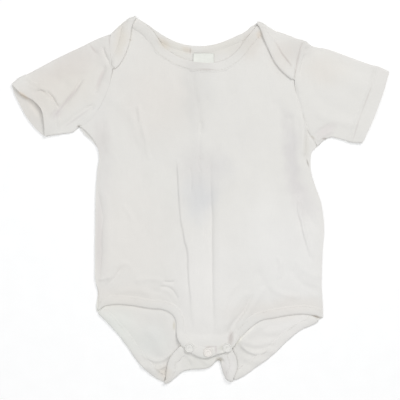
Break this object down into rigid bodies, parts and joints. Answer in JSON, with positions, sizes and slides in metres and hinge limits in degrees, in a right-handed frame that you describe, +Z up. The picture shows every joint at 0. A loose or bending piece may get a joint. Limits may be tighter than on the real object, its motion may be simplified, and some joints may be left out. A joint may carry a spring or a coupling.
{
  "type": "baby bodysuit",
  "caption": "Short-sleeved baby bodysuit in off-white knit with lap shoulders and a snapped crotch, laid flat with its front up.",
  "frame": {"origin": "on the surface that the garment lies on, under the middle of its plan", "axes": "+X to the garment's edge on the right as seen from above, +Y to its neck, +Z up through its thickness"},
  "size_m": [0.3779, 0.3659, 0.0086],
  "materials": {
    "cotton_knit": "fine off-white cotton knit, matt and slightly napped",
    "binding_knit": "the same knit folded into bindings, matt",
    "pearl_snap": "cream pearl cap, softly glossy",
    "label_satin": "pale woven satin, bare"
  },
  "bodies": {
    "root": {"back_panel": "cotton_knit", "front_panel": "cotton_knit", "sleeve_left": "cotton_knit", "sleeve_right": "cotton_knit", "neck_binding_front": "binding_knit", "neck_binding_back": "binding_knit", "lap_binding_left": "binding_knit", "lap_binding_right": "binding_knit", "leg_binding_front_left": "binding_knit", "leg_binding_front_right": "binding_knit", "leg_binding_back_left": "binding_knit", "leg_binding_back_right": "binding_knit", "leg_binding_flap_left": "binding_knit", "leg_binding_flap_right": "binding_knit", "crotch_tape": "binding_knit", "neck_label": "label_satin", "snap_left": "pearl_snap", "snap_centre": "pearl_snap", "snap_right": "pearl_snap"}
  },
  "joints": []
}
